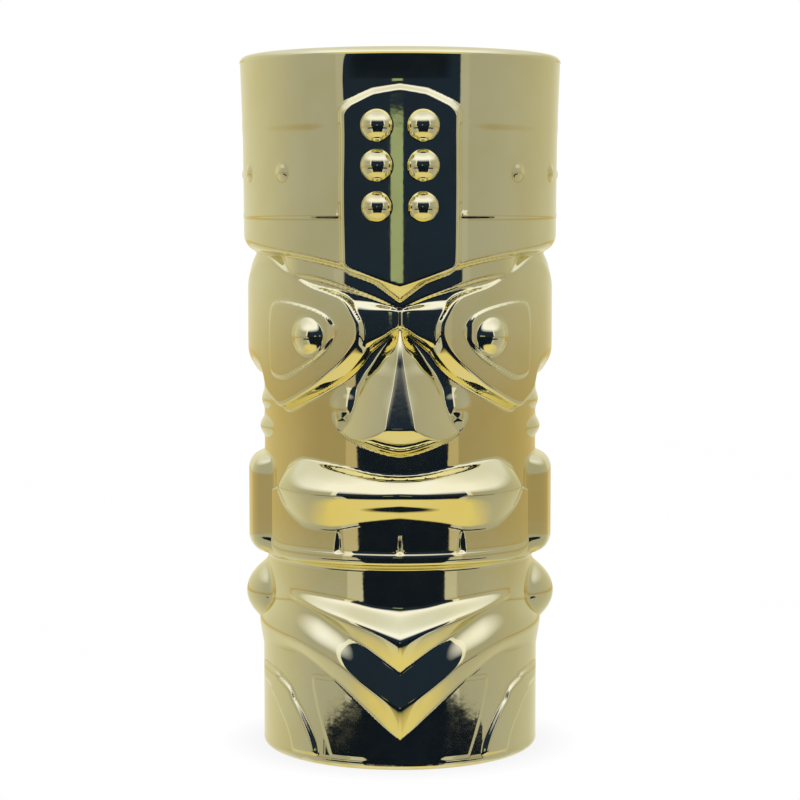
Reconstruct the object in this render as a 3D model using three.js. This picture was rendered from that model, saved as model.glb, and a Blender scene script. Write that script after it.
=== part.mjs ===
// A tiki mug: a tall drinking vessel with a tiki's headband, face, collar and legs laid on it in relief.
// Millimetres, +Z up. The origin is the middle of the foot, and the face looks towards -Y.
//
// Every place on the wall is given as a turn (degrees round from the front, positive to +X), a rise
// (height over the table) and a reach (distance from the axis).
import * as THREE from "three";

// Driving dimensions
const HEIGHT = 160;
const RIM_REACH = 37.25;
const BAND_REACH = 36.5;
const FLARE_REACH = 34.4;
const FACE_REACH = 31.6;
const NECK_REACH = 30.8;
const SKIRT_REACH = 31.2;
const CAVITY_REACH = 26.4;
const BASE_THICKNESS = 6;

// Levels up the mug
const SKIRT_TOP = 26;
const NECK_FOOT = 32;
const NECK_TOP = 42.4;
const FACE_FOOT = 45.6;
const FLARE_FOOT = 113.5;
const BAND_SIDE_FOOT = 115.3;
const FLARE_TOP = 118;
const BAND_TOP = 155.2;

// Fits and fineness
const GAP = 0.3; // joint between a laid-on piece and the wall under it
const SEAM = 0.35; // joint between two pieces side by side, measured up the wall
const COLUMN = 7.5; // degrees between the cross-sections of a piece that runs round the mug
const RING = 48; // straight sides of the turned vessel

const rad = THREE.MathUtils.degToRad;
const mug = new THREE.Group();

// ---------------------------------------------------------------- helpers

const at = (turn, reach, rise) =>
  new THREE.Vector3(reach * Math.sin(rad(turn)), -reach * Math.cos(rad(turn)), rise);

/** Eases from 0 at `from` to 1 at `to`. */
const ease = (value, from, to) => THREE.MathUtils.smoothstep(value, from, to);

/** Height of a line through [turn, rise] points, the same on the left and on the right. */
function line(points) {
  return (turn) => {
    const side = Math.abs(turn);
    const next = points.findIndex(([far]) => far > side);
    if (next < 1) return next === 0 ? points[0][1] : points.at(-1)[1];
    const [[nearTurn, nearRise], [farTurn, farRise]] = [points[next - 1], points[next]];
    return THREE.MathUtils.mapLinear(side, nearTurn, farTurn, nearRise, farRise);
  };
}

/** A closed skin through rings of points. It closes on itself, or ends in a fan to a point at each end. */
function skin(rings, { hoop = false, start = null, end = null } = {}) {
  const count = rings[0].length;
  const points = rings.flat();
  const faces = [];
  const steps = hoop ? rings.length : rings.length - 1;
  for (let ring = 0; ring < steps; ring++) {
    const near = ring * count;
    const far = ((ring + 1) % rings.length) * count;
    for (let i = 0; i < count; i++) {
      const j = (i + 1) % count;
      faces.push(near + i, near + j, far + j, near + i, far + j, far + i);
    }
  }
  if (!hoop) {
    const last = (rings.length - 1) * count;
    const startPole = points.push(start ?? middleOf(rings[0])) - 1;
    const endPole = points.push(end ?? middleOf(rings.at(-1))) - 1;
    for (let i = 0; i < count; i++) {
      const j = (i + 1) % count;
      faces.push(startPole, j, i, endPole, last + i, last + j);
    }
  }
  const geometry = new THREE.BufferGeometry().setFromPoints(points);
  geometry.setIndex(faces);
  geometry.computeVertexNormals();
  return geometry;
}

const middleOf = (ring) =>
  ring.reduce((sum, point) => sum.add(point), new THREE.Vector3()).divideScalar(ring.length);

const paleGold = new THREE.MeshStandardMaterial({ color: 0xe2d49c, roughness: 0.12, metalness: 1 });

/** Adds one named piece, plated in gold. */
function addPiece(name, geometry) {
  const mesh = new THREE.Mesh(geometry, paleGold);
  mesh.name = name;
  mug.add(mesh);
  return mesh;
}

/**
 * A piece that runs round the mug from one turn to another. Its closed cross-section lists [rise, reach]
 * points down the back and up the front.
 */
function addBand(name, from, to, section) {
  const hoop = to - from >= 360;
  const columns = Math.ceil((to - from) / COLUMN);
  const rings = [];
  for (let i = 0; i < columns + (hoop ? 0 : 1); i++) {
    const turn = THREE.MathUtils.mapLinear(i, 0, columns, from, to);
    rings.push(section(turn).reverse().map(([rise, reach]) => at(turn, reach, rise)));
  }
  addPiece(name, skin(rings, { hoop }));
}

/** The back of a cross-section: it lies on the wall, from the head of the piece down to its foot. */
function backOnWall(foot, head) {
  return [1, 0.75, 0.5, 0.25, 0].map((share) => {
    const rise = THREE.MathUtils.lerp(foot, head, share);
    return [rise, wallReach(rise) + GAP];
  });
}

/**
 * A piece that swells from a closed outline of [turn, rise] points to a middle point.
 * `crown` lists [inset, reach] steps of its front, and `seat` is the reach that its back rests on.
 */
function addPad(name, outline, middle, crown, seat = wallReach) {
  const drawIn = (inset) =>
    outline.map(([turn, rise]) => [
      THREE.MathUtils.lerp(turn, middle[0], inset),
      THREE.MathUtils.lerp(rise, middle[1], inset),
    ]);
  const back = [0.8, 0.6, 0.4, 0.2, 0].map((inset) =>
    drawIn(inset).map(([turn, rise]) => at(turn, seat(rise) + GAP, rise)),
  );
  const front = crown
    .slice(0, -1)
    .map(([inset, reach]) => drawIn(inset).map(([turn, rise]) => at(turn, reach, rise)));
  const [turn, rise] = middle;
  const geometry = skin([...back, ...front], {
    start: at(turn, seat(rise) + GAP, rise),
    end: at(turn, crown.at(-1)[1], rise),
  });
  addPiece(name, geometry);
}

/** A smooth closed outline through a few [turn, rise] points, given anticlockwise as seen from outside. */
function smoothOutline(points, count) {
  const curve = new THREE.CatmullRomCurve3(
    points.map(([turn, rise]) => new THREE.Vector3(turn, rise, 0)),
    true,
    "centripetal",
  );
  return curve.getPoints(count).slice(0, -1).map((point) => [point.x, point.y]);
}

/** A round outline of a radius in millimetres on a wall of the given reach. */
function roundOutline(turn, rise, radius, reach, count) {
  const degrees = THREE.MathUtils.radToDeg(radius / reach);
  const circle = new THREE.EllipseCurve(turn, rise, degrees, radius, 0, 2 * Math.PI, false);
  return circle.getPoints(count).slice(0, -1).map((point) => [point.x, point.y]);
}

/** The same outline on the other side of the face, still anticlockwise. */
const mirrored = (outline) => outline.map(([turn, rise]) => [-turn, rise]).reverse();

/** Calls `make` once for each side of the face. Places are given for the left, towards -X, and turn over. */
function onBothSides(make) {
  make("left", 1, (outline) => outline);
  make("right", -1, mirrored);
}

// ---------------------------------------------------------------- the vessel

const WALL = [
  [0, SKIRT_REACH - 1.2],
  [1.4, SKIRT_REACH],
  [SKIRT_TOP, SKIRT_REACH],
  [SKIRT_TOP + 3, SKIRT_REACH - 0.5],
  [NECK_FOOT, NECK_REACH],
  [NECK_TOP, NECK_REACH],
  [FACE_FOOT, FACE_REACH],
  [FLARE_FOOT, FACE_REACH],
  [FLARE_TOP, FLARE_REACH],
  [BAND_TOP, FLARE_REACH],
];

/** Reach of the vessel's outer wall at a height. */
function wallReach(rise) {
  const next = WALL.findIndex(([top]) => top > rise);
  if (next < 1) return next === 0 ? WALL[0][1] : WALL.at(-1)[1];
  const [[lowRise, lowReach], [highRise, highReach]] = [WALL[next - 1], WALL[next]];
  return THREE.MathUtils.mapLinear(rise, lowRise, highRise, lowReach, highReach);
}

function addVessel() {
  const wall = 3;
  const lip = 1.6; // half the thickness of the rim
  const floor = { fillet: 7, rise: BASE_THICKNESS };
  const profile = new THREE.Path();
  profile.moveTo(0, 0);
  WALL.forEach(([rise, reach]) => profile.lineTo(reach, rise));
  profile.lineTo(RIM_REACH - 0.6, BAND_TOP + 0.6);
  profile.lineTo(RIM_REACH, HEIGHT - lip);
  profile.absarc(RIM_REACH - lip, HEIGHT - lip, lip, 0, Math.PI, false);
  profile.lineTo(FLARE_REACH - wall, BAND_TOP - 4);
  profile.lineTo(FLARE_REACH - wall, FLARE_TOP + 2);
  profile.lineTo(FACE_REACH - wall, FLARE_FOOT - 4);
  profile.lineTo(FACE_REACH - wall, FACE_FOOT + 2);
  profile.lineTo(CAVITY_REACH, NECK_TOP - 2);
  profile.absarc(
    CAVITY_REACH - floor.fillet,
    floor.rise + floor.fillet,
    floor.fillet,
    0,
    -Math.PI / 2,
    true,
  );
  profile.lineTo(0, floor.rise);
  const geometry = new THREE.LatheGeometry(profile.getPoints(2), RING);
  geometry.rotateX(Math.PI / 2);
  addPiece("vessel", closeSeam(geometry));
}

// ---------------------------------------------------------------- the headband

/** Lower edge of the headband: a V over the nose that runs out level round the sides. */
function bandFoot(turn) {
  const wing = 19;
  const tip = 104.6;
  const shoulder = 111.9;
  const side = Math.abs(turn);
  if (side < wing) return THREE.MathUtils.mapLinear(side, 0, wing, tip, shoulder);
  return THREE.MathUtils.lerp(BAND_SIDE_FOOT, shoulder, Math.exp(-(side - wing) / 22));
}

const PLAQUE_EDGE = 20; // half the width of the plaque, in degrees

function addHeadband() {
  const head = BAND_TOP - SEAM;
  addBand("headband", -180, 180, (turn) => {
    const foot = bandFoot(turn);
    const levels = [head, FLARE_TOP, Math.max(FLARE_FOOT, foot + 0.3), foot];
    const back = levels.map((rise) => [rise, wallReach(rise) + GAP]);
    const front = [
      [foot + 0.6, BAND_REACH - 1.6],
      [foot + 2.4, BAND_REACH - 0.2],
      [foot + 6, BAND_REACH],
      [head, BAND_REACH + 0.2],
    ];
    return [...back, ...front];
  });
}

function addCords() {
  const start = PLAQUE_EDGE + 1.5;
  const cords = [
    { name: "upper_cord", rise: 144, width: 3.2, height: 0.55 },
    { name: "lower_cord", rise: 123.6, width: 1.5, height: 0.65 },
  ];
  for (const { name, rise, width, height } of cords) {
    addBand(name, start, 360 - start, () => {
      const under = BAND_REACH + GAP;
      return [
        [rise + width / 2, under],
        [rise - width / 2, under],
        [rise - width / 4, under + height * 0.8],
        [rise, under + height],
        [rise + width / 4, under + height * 0.8],
      ];
    });
  }
}

function addPlaque() {
  const peak = 151.3;
  const shoulder = 146.4;
  const reach = BAND_REACH + GAP;
  const thickness = 0.9;
  addBand("forehead_plaque", -PLAQUE_EDGE, PLAQUE_EDGE, (turn) => {
    const side = Math.abs(turn) / PLAQUE_EDGE;
    const head = THREE.MathUtils.lerp(peak, shoulder, side ** 0.9);
    const foot = bandFoot(turn) + 2.6;
    const rows = [head, (2 * head + foot) / 3, (head + 2 * foot) / 3, foot];
    const back = rows.map((rise) => [rise, reach]);
    const front = [
      [foot + 0.5, reach + thickness],
      [head - 0.5, reach + thickness],
    ];
    return [...back, ...front];
  });
  addStuds(reach + thickness);
}

/** A round-headed stud or boss that stands on the wall, its axis pointing outwards. */
function addDome(name, turn, rise, reach, radius, height, sides) {
  const sphere = (radius ** 2 + height ** 2) / (2 * height);
  const half = Math.asin(Math.min(1, radius / sphere));
  const spread = height > sphere ? Math.PI - half : half;
  const profile = new THREE.Path();
  profile.moveTo(0, 0);
  profile.lineTo(radius, 0);
  profile.absarc(0, height - sphere, sphere, Math.PI / 2 - spread, Math.PI / 2, false);
  const geometry = closeSeam(new THREE.LatheGeometry(profile.getPoints(2), sides));
  const mesh = addPiece(name, geometry);
  mesh.position.copy(at(turn, reach + 0.05, rise));
  mesh.quaternion.setFromUnitVectors(new THREE.Vector3(0, 1, 0), at(turn, 1, 0));
}

function addStuds(reach) {
  const rows = [142.9, 134.3, 125.4];
  const radius = 3.5;
  const height = 3.4;
  rows.forEach((rise, row) => {
    addDome(`stud_left_${row + 1}`, -7.6, rise, reach, radius, height, 16);
    addDome(`stud_right_${row + 1}`, 7.6, rise, reach, radius, height, 16);
  });
}

function addBosses() {
  const onOneSide = 6;
  const first = 46;
  const pitch = 24;
  const boss = { rise: 133.2, radius: 1.7, height: 0.7, sides: 10 };
  for (let i = 0; i < 2 * onOneSide; i++) {
    const turn = i < onOneSide ? first + pitch * i : pitch * (i + 1 - 2 * onOneSide) - first;
    const name = `boss_${String(i + 1).padStart(2, "0")}`;
    addDome(name, turn, boss.rise, BAND_REACH + 0.05, boss.radius, boss.height, boss.sides);
  }
}

/** The narrow step that follows the V under the headband. */
function addBrowStep() {
  const end = 60;
  const stepFoot = line([
    [0, 103.5],
    [18, 108.6],
    [34, 111.4],
    [end, 113.6],
  ]);
  addBand("brow_step", -end, end, (turn) => {
    const head = bandFoot(turn) - SEAM;
    const foot = Math.min(stepFoot(turn), head - 0.5);
    const reach = THREE.MathUtils.lerp(35.2, 33.9, ease(Math.abs(turn), 0, end));
    return [...backOnWall(foot, head), [foot + 0.1, reach - 0.4], [head, reach]];
  });
}

// ---------------------------------------------------------------- the face

const EYE_RISE = 96.8;
const MASK_REACH = 35.4;
const BRIDGE_EDGE = 13.4;

/** The bar between the eyes, over the top of the nose. */
function addBrowBridge() {
  const foot = line([
    [0, 100.2],
    [6, 98.2],
    [BRIDGE_EDGE, 94.6],
  ]);
  const head = line([
    [0, 103],
    [BRIDGE_EDGE, 102.4],
  ]);
  addBand("brow_bridge", -BRIDGE_EDGE, BRIDGE_EDGE, (turn) => [
    ...backOnWall(foot(turn), head(turn)),
    [foot(turn) + 0.6, 34.2],
    [head(turn) - 0.9, 34.6],
  ]);
}

function addEyes() {
  const maskOutline = smoothOutline(
    [
      [-14.4, 99.2],
      [-20, 105],
      [-36, 108.4],
      [-56, 111.6],
      [-88, 111],
      [-104, 106],
      [-108, 99],
      [-102, 91],
      [-86, 88],
      [-68, 87],
      [-60.5, 82.6],
      [-54, 81],
      [-36, 83.6],
      [-20.5, 89],
      [-15.5, 93.5],
    ],
    32,
  );
  const plateOutline = smoothOutline(
    [
      [-22.6, 98.9],
      [-36.7, 103.6],
      [-53.5, 104.4],
      [-57.3, 98],
      [-55.5, 87.9],
      [-48, 87.4],
      [-32.4, 92],
    ],
    21,
  );
  const maskCrown = [
    [0, 32.6],
    [0.08, 34.4],
    [0.2, MASK_REACH],
    [0.45, MASK_REACH],
    [0.7, MASK_REACH],
    [1, MASK_REACH],
  ];
  const plateReach = MASK_REACH + GAP + 0.7;
  const plateCrown = [
    [0, plateReach - 0.3],
    [0.1, plateReach],
    [0.4, plateReach],
    [0.7, plateReach],
    [1, plateReach],
  ];
  const pupil = { turn: -35.6, radius: 3.9, height: 2, sides: 16 };
  onBothSides((side, sign, flip) => {
    const maskMiddle = [sign * -56, 98];
    const plateMiddle = [sign * -39, EYE_RISE];
    addPad(`eye_mask_${side}`, flip(maskOutline), maskMiddle, maskCrown);
    addPad(`eye_plate_${side}`, flip(plateOutline), plateMiddle, plateCrown, () => MASK_REACH);
    const { turn, radius, height, sides } = pupil;
    addDome(`pupil_${side}`, sign * turn, EYE_RISE, plateReach, radius, height, sides);
  });
}

function addNose() {
  const outline = smoothOutline(
    [
      [0, 99],
      [-5.4, 95.6],
      [-10.4, 90],
      [-13.8, 84],
      [-13.6, 77.4],
      [-8, 74],
      [0, 72.8],
      [8, 74],
      [13.6, 77.4],
      [13.8, 84],
      [10.4, 90],
      [5.4, 95.6],
    ],
    24,
  );
  addPad("nose", outline, [0, 78.5], [
    [0, 32.4],
    [0.12, 33.6],
    [0.7, 37.6],
    [1, 39.4],
  ]);
  const nostrilRise = 80.6;
  const noseEdge = -14.9; // the nostrils stop short of the nose here
  onBothSides((side, sign) => {
    const rounded = roundOutline(sign * -23, nostrilRise, 4.3, FACE_REACH, 18);
    const flattened = rounded.map(([turn, rise]) => [
      sign * Math.min(sign * turn, noseEdge),
      rise,
    ]);
    addPad(`nostril_${side}`, flattened, [sign * -22, nostrilRise], [
      [0, 32.4],
      [0.15, 33.8],
      [0.45, 34.8],
      [1, 35.3],
    ]);
  });
}

const MOUTH_END = 56;

const mouthFoot = line([
  [0, 57.3],
  [15, 56.5],
  [28, 55.1],
  [38, 55.6],
  [48, 58.8],
  [MOUTH_END, 61.4],
]);

function addMouth() {
  const head = line([
    [0, 65.8],
    [11, 66.5],
    [23, 68.4],
    [36, 69.2],
    [46, 67.8],
    [MOUTH_END, 63.2],
  ]);
  addBand("mouth", -MOUTH_END, MOUTH_END, (turn) => {
    const side = Math.abs(turn);
    const crest = THREE.MathUtils.lerp(62.4, 61.6, ease(side, 0, 40));
    const reach = THREE.MathUtils.lerp(37.4, 33.2, ease(side, 34, MOUTH_END));
    const level = THREE.MathUtils.clamp(crest, mouthFoot(turn) + 0.8, head(turn) - 0.8);
    const lipReach = THREE.MathUtils.lerp(FACE_REACH + GAP, reach, 0.65);
    return [
      ...backOnWall(mouthFoot(turn), head(turn)),
      [THREE.MathUtils.lerp(mouthFoot(turn), level, 0.4), lipReach],
      [level, reach],
      [THREE.MathUtils.lerp(head(turn), level, 0.5), lipReach],
    ];
  });
}

function addJaw() {
  const end = 62.5;
  const foot = 45.9;
  const corner = line([
    [0, 0],
    [50, 0],
    [end, 2.6],
  ]);
  const sideHead = (side) => THREE.MathUtils.mapLinear(side, MOUTH_END, end, 61, 60);
  addBand("jaw", -end, end, (turn) => {
    const side = Math.abs(turn);
    const head = side < MOUTH_END ? mouthFoot(turn) - SEAM : sideHead(side);
    const low = foot + corner(turn);
    return [
      ...backOnWall(low, head),
      [low + 0.5, 32.6],
      [low + 2.6, 33.6],
      [head - 0.4, 33],
    ];
  });
}

function addCheekFolds() {
  const rise = 75.2;
  const stretch = 3.6; // a fold is this many times as wide as it is tall
  onBothSides((side, sign) => {
    const middle = sign * -82;
    const outline = roundOutline(middle, rise, 2.6, FACE_REACH, 14).map(([turn, level]) => [
      middle + (turn - middle) * stretch,
      level,
    ]);
    addPad(`cheek_fold_${side}`, outline, [middle, rise], [
      [0, 32.1],
      [0.4, 32.7],
      [1, 32.8],
    ]);
  });
}

function addEars() {
  const slab = smoothOutline(
    [
      [-69, 64],
      [-74, 67.6],
      [-90, 68.4],
      [-106, 67.6],
      [-111, 64],
      [-111, 50],
      [-106, 46.8],
      [-90, 46.2],
      [-74, 46.8],
      [-69, 49.5],
    ],
    24,
  );
  const knobRise = 35.7;
  onBothSides((side, sign, flip) => {
    const middle = sign * -90;
    addPad(`ear_${side}`, flip(slab), [middle, 57], [
      [0, 32.4],
      [0.14, 34],
      [0.3, 35.1],
      [0.6, 35.3],
      [1, 35.3],
    ]);
    const knob = roundOutline(middle, knobRise, 7.8, 33, 20);
    addPad(`ear_knob_${side}`, knob, [middle, knobRise], [
      [0, 33],
      [0.2, 34.6],
      [0.5, 35.9],
      [1, 36.2],
    ]);
  });
}

// ---------------------------------------------------------------- the collar and legs

const COLLAR_END = 50;

const upperCollarFoot = line([
  [0, 20.8],
  [COLLAR_END, 35],
]);

function addUpperCollar() {
  addBand("upper_collar", -COLLAR_END, COLLAR_END, (turn) => {
    const side = Math.abs(turn);
    const foot = upperCollarFoot(turn);
    const head = THREE.MathUtils.lerp(37.2, 34.6, Math.exp(-side / 24));
    const crest = THREE.MathUtils.mapLinear(side, 0, COLLAR_END, 28, 35.6);
    const reach = THREE.MathUtils.lerp(35.4, 32, ease(side, 0, COLLAR_END));
    const upperReach = THREE.MathUtils.lerp(NECK_REACH + GAP, reach, 0.6);
    return [...backOnWall(foot, head), [crest - 0.4, reach], [(head + crest) / 2, upperReach]];
  });
}

/** The wide lower collar: a deep V in front that narrows to a plain hoop round the back. */
function addLowerCollar() {
  const crest = line([
    [0, 13.6],
    [15, 17.2],
    [29, 21.8],
    [42, 25],
    [66, 27],
  ]);
  const foot = line([
    [0, 4.2],
    [16, 12.2],
    [32, 19.6],
    [57, 23.4],
    [90, 22.4],
  ]);
  const hoopHead = line([
    [COLLAR_END, 34.6],
    [66, 33.4],
    [74, 27.4],
  ]);
  addBand("lower_collar", -180, 180, (turn) => {
    const side = Math.abs(turn);
    const head = side < COLLAR_END ? upperCollarFoot(turn) - SEAM : hoopHead(turn);
    const low = foot(turn);
    const mid = Math.min(crest(turn), head - 0.8);
    const reach = THREE.MathUtils.lerp(35.4, 33.2, ease(side, 0, 50));
    return [...backOnWall(low, head), [mid - 0.8, reach - 0.3], [mid, reach], [head, reach - 0.9]];
  });
}

/** A raised strip of even width along a path over the skirt. */
function addStrip(name, path, halfWidth, height) {
  const steps = 10;
  const rings = [];
  for (let i = 0; i <= steps; i++) {
    const point = path.getPoint(i / steps);
    const along = path.getTangent(i / steps);
    const across = new THREE.Vector2(-along.y, along.x).multiplyScalar(halfWidth);
    const section = [
      [1, height * 0.7],
      [0, height],
      [-1, height * 0.7],
      [-1, 0],
      [1, 0],
    ];
    rings.push(
      section.map(([share, lift]) => {
        const degrees = THREE.MathUtils.radToDeg((point.x + across.x * share) / SKIRT_REACH);
        const rise = point.y + across.y * share;
        return at(degrees, wallReach(rise) + GAP + lift, rise);
      }),
    );
  }
  addPiece(name, skin(rings));
}

/** Two curved ridges on each side of the skirt, an outer and an inner one, drawn in flat millimetres. */
function addLegs() {
  const arc = (startTurn, startRise, endTurn, endRise, bulge) => (sign) => {
    const flat = (turn) => sign * rad(turn) * SKIRT_REACH;
    const middle = [(startTurn + endTurn) / 2 - bulge, (startRise + endRise) / 2 + bulge / 3];
    return new THREE.QuadraticBezierCurve(
      new THREE.Vector2(flat(startTurn), startRise),
      new THREE.Vector2(flat(middle[0]), middle[1]),
      new THREE.Vector2(flat(endTurn), endRise),
    );
  };
  const thigh = arc(66, 19.4, 36, 3.4, 5);
  const shin = arc(69, 14, 50.5, 3.4, 4);
  onBothSides((side, sign) => {
    addStrip(`thigh_${side}`, thigh(-sign), 0.8, 1);
    addStrip(`shin_${side}`, shin(-sign), 0.7, 1);
  });
}

function addApron() {
  const end = 30;
  const head = line([
    [0, 3.7],
    [15, 10.8],
    [end, 17.4],
  ]);
  const foot = 2.4;
  addBand("apron", -end, end, (turn) => {
    const side = Math.abs(turn);
    const slantedTop = Math.min(head(turn), THREE.MathUtils.mapLinear(side, 22.5, end, 13.6, 8));
    const top = Math.max(slantedTop, foot + 0.8);
    return [
      ...backOnWall(foot, top),
      [foot + 0.2, SKIRT_REACH + 0.8],
      [top - 0.2, SKIRT_REACH + 0.8],
    ];
  });
}

function addFootRim() {
  addBand("foot_rim", -180, 180, () => [
    [1.9, SKIRT_REACH + GAP],
    [0.1, SKIRT_REACH + GAP - 0.2],
    [0.1, SKIRT_REACH + GAP + 0.1],
    [1.2, SKIRT_REACH + 0.9],
    [1.9, SKIRT_REACH + 0.9],
  ]);
}

// ---------------------------------------------------------------- geometry clean-up

/** Joins the first and last columns of a turned geometry and drops the triangles that shrink on its axis. */
function closeSeam(geometry) {
  const source = geometry.getAttribute("position");
  const points = [];
  const seen = new Map();
  const vertexOf = Array.from({ length: source.count }, (_, i) => {
    const point = new THREE.Vector3().fromBufferAttribute(source, i);
    const key = point.toArray().map((value) => Math.round(value * 1e4)).join();
    if (!seen.has(key)) seen.set(key, points.push(point) - 1);
    return seen.get(key);
  });
  const faces = [];
  for (let i = 0; i < geometry.index.count; i += 3) {
    const [a, b, c] = [0, 1, 2].map((k) => vertexOf[geometry.index.getX(i + k)]);
    if (a !== b && b !== c && c !== a) faces.push(a, b, c);
  }
  const closed = new THREE.BufferGeometry().setFromPoints(points);
  closed.setIndex(faces);
  closed.computeVertexNormals();
  return closed;
}

// ---------------------------------------------------------------- assembly

addVessel();
addHeadband();
addCords();
addPlaque();
addBosses();
addBrowStep();
addBrowBridge();
addEyes();
addNose();
addMouth();
addJaw();
addCheekFolds();
addEars();
addUpperCollar();
addLowerCollar();
addLegs();
addApron();
addFootRim();

export default mug;
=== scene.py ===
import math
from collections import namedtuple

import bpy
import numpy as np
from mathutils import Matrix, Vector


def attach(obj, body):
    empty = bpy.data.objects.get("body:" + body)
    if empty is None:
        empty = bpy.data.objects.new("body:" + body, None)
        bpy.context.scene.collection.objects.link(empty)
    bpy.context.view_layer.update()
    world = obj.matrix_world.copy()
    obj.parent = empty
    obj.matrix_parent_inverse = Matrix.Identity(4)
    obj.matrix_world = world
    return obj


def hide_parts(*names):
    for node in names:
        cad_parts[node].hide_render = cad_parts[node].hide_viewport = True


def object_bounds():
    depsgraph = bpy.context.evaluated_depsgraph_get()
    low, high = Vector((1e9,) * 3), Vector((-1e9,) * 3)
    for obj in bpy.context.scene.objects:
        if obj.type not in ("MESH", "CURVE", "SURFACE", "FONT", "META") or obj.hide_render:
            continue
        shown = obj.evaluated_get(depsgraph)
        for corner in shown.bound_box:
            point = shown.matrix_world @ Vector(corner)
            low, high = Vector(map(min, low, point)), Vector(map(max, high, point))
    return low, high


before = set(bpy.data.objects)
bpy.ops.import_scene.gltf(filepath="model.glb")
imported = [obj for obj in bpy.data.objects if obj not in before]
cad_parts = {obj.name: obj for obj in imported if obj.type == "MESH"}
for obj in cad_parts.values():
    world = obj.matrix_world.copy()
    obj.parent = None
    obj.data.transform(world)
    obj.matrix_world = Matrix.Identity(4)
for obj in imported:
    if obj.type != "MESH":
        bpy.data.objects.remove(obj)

# A tiki mug with a mirror-bright pale gold coat. The CAD nodes give every place and size. The whole outer
# wall is worked out once, as its reach (distance from the axis, mm) at every turn (degrees round from the
# front, positive to +X) and rise (height, mm). It is then cut along the pieces' outlines into closed
# solids. The mug is the same on both sides, so the wall is worked out for turns of 0 to 180 only.

cad_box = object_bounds()
MM = 0.001

Span = namedtuple("Span", "near far low high inner outer")


def span(node):
    """How far a CAD node goes round (on the right-hand side), up, and out from the axis."""
    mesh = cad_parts[node].data
    flat = np.empty(len(mesh.vertices) * 3)
    mesh.vertices.foreach_get("co", flat)
    x, y, z = flat.reshape(-1, 3).T / MM
    around, out = np.degrees(np.arctan2(x, -y)), np.hypot(x, y)
    near = 0.0 if around.min() < 0 else around.min()
    return Span(near, around.max(), z.min(), z.max(), out.min(), out.max())


VESSEL = span("vessel")
BAND = span("headband")
PLAQUE = span("forehead_plaque")
STEP = span("brow_step")
BRIDGE = span("brow_bridge")
MASK = span("eye_mask_right")
PLATE = span("eye_plate_right")
PUPIL = span("pupil_right")
NOSE = span("nose")
NOSTRIL = span("nostril_right")
MOUTH = span("mouth")
JAW = span("jaw")
FOLD = span("cheek_fold_right")
EAR = span("ear_right")
KNOB = span("ear_knob_right")
COLLAR = span("upper_collar")
HOOP = span("lower_collar")
APRON = span("apron")
BOSSES = sum(name.startswith("boss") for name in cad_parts)

HEIGHT = VESSEL.high
LIP = 1.6                      # half the thickness of the rim
FACE = NOSE.inner - 0.2        # the bare wall beside the nose
NECK = COLLAR.inner            # the bare wall above the collars
SKIRT = APRON.outer + 0.1      # the bare wall below the collars
CORE = BAND.outer - 2.3        # the vessel's wall under the headband
BAND_WALL = BAND.outer - 0.2   # the headband's front
FLAT = math.radians(1) * 34    # millimetres along the wall for one degree

# -------- the raster of the wall

TURN_STEP = 0.25
RISE_STEP = 0.2
turn = np.arange(0, 180 + TURN_STEP / 2, TURN_STEP)[None, :]
rise = np.arange(0, HEIGHT - LIP + RISE_STEP / 2, RISE_STEP)[:, None]
NOTHING = -99.0   # the reach of a piece where it isn't


def smooth_line(points, level_start=False):
    """A function that runs smoothly through (x, y) points and never overshoots them. level_start makes it
    leave the first one level."""
    x, y = np.array(points, float).T
    slope = np.gradient(y, x)
    rates = np.diff(y) / np.diff(x)
    steepest = 3 * np.minimum(np.abs(rates[1:]), np.abs(rates[:-1])) * (rates[1:] * rates[:-1] > 0)
    slope[1:-1] = np.clip(slope[1:-1], -steepest, steepest)
    if level_start:
        slope[0] = 0

    def value(at):
        at = np.clip(at, x[0], x[-1])
        i = np.clip(np.searchsorted(x, at) - 1, 0, len(x) - 2)
        gap = x[i + 1] - x[i]
        s = (at - x[i]) / gap
        start = y[i] * (1 + 2 * s) + slope[i] * gap * s
        end = y[i + 1] * (3 - 2 * s) + slope[i + 1] * gap * (s - 1)
        return start * (1 - s) ** 2 + end * s * s

    return value


def by_turn(points, base=0.0, level_start=False):
    """A value at every turn, from (turn, value over the base) points."""
    return base + smooth_line(points, level_start)(turn)


def by_rise(points, start=0.0, base=0.0):
    """A value at every rise, from (height over the start, value over the base) points."""
    return base + smooth_line(points)(rise - start)


def ease(value, low, high):
    """0 at low, 1 at high, level at both ends."""
    s = np.clip((value - low) / (high - low), 0, 1)
    return s * s * (3 - 2 * s)


def hump(value, centre, width):
    """1 at the centre, fading to 0 on both sides over about the width."""
    return np.exp(-(((value - centre) / width) ** 2))


def dome(away, power):
    """1 in the middle, falling to 0 where the distance, as a share of the radius, is 1."""
    return np.clip(1 - away**2, 0, None) ** power


def soft_max(a, b, reach):
    """The larger of two heights, with the valley between them filled over about this reach."""
    overlap = np.clip(reach - np.abs(a - b), 0, None) / reach
    return np.maximum(a, b) + overlap**2 * reach / 4


def shoulder(outside, width, power=2.0):
    """How far the wall has fallen, as a share, at a distance outside a crest: 0 on it, 1 at the foot, and
    far below the ground beyond that."""
    s = np.clip(outside / width, 0, 1)
    fall = 1 - (1 - s**power) ** (1 / power)
    return np.where(outside > width, 9.0, fall)


def place(node, shares):
    """Turns shares of a node's width and height into (turn, rise) points."""
    width, height = node.far - node.near, node.high - node.low
    return [(node.near + u * width, node.low + v * height) for u, v in shares]


def middle_of(node):
    return (node.near + node.far) / 2, (node.low + node.high) / 2


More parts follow.
